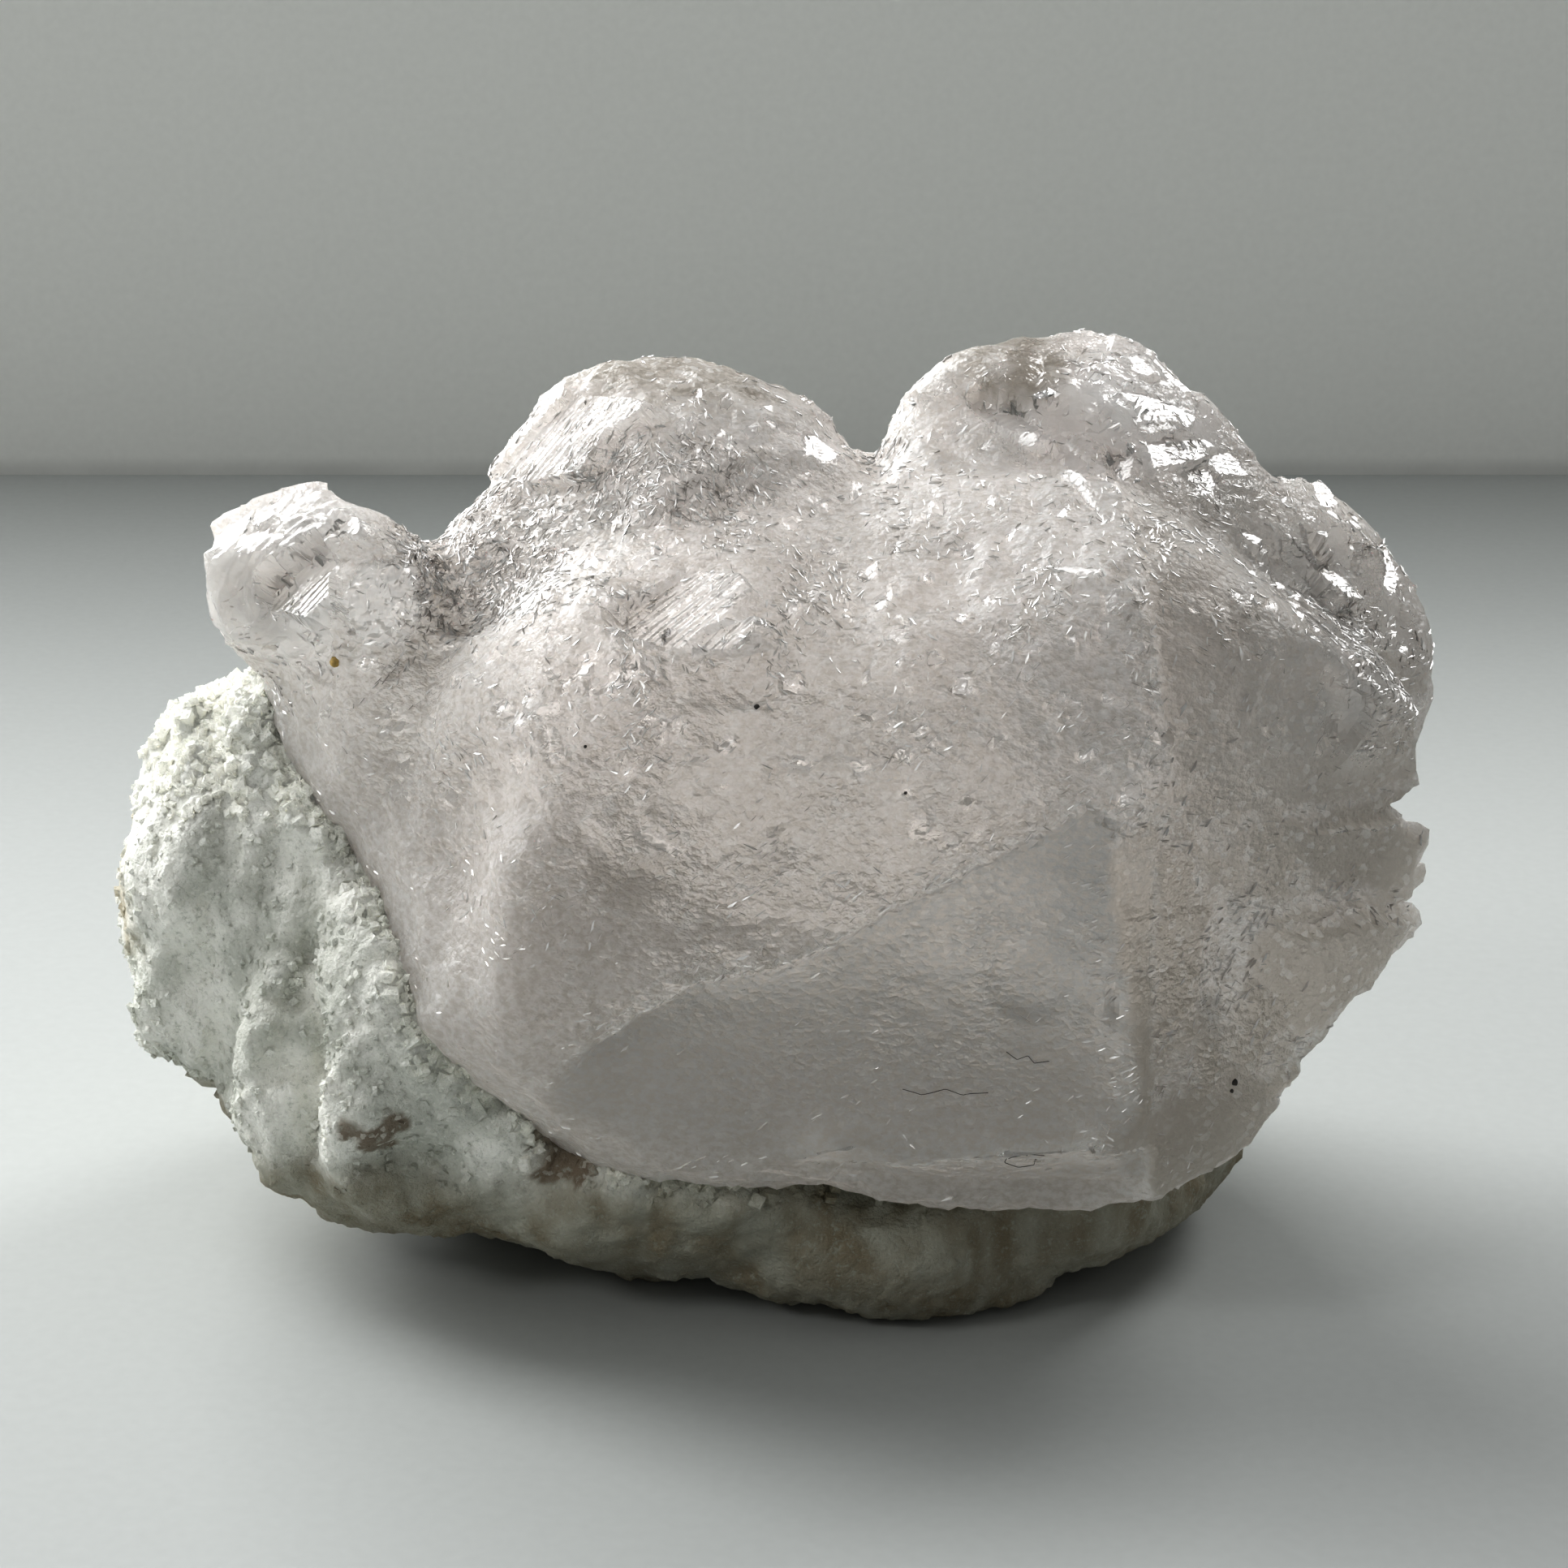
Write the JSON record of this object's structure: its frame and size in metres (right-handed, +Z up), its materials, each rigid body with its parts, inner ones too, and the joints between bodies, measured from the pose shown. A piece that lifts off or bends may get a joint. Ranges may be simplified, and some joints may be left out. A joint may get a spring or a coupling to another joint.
{
  "type": "mineral specimen, etched pink crystal on feldspar matrix",
  "caption": "Etched pale pink see-through crystal mass with rounded domes and flat cleavage faces, grown on a lump of white feldspar matrix that it rests on.",
  "frame": {"origin": "middle of the specimen's footprint, at the level it rests on", "axes": "+X along the specimen's length to the right, +Y from its front to its back, +Z up"},
  "size_m": [0.0664, 0.0384, 0.0456],
  "materials": {
    "kunzite": "see-through pale pink crystal, etched to a fine sparkle, glossy on its cleavage faces",
    "matrix": "sugary white feldspar, grey-green and brown stained below"
  },
  "bodies": {
    "root": {"kunzite": "kunzite", "matrix": "matrix"}
  },
  "joints": []
}
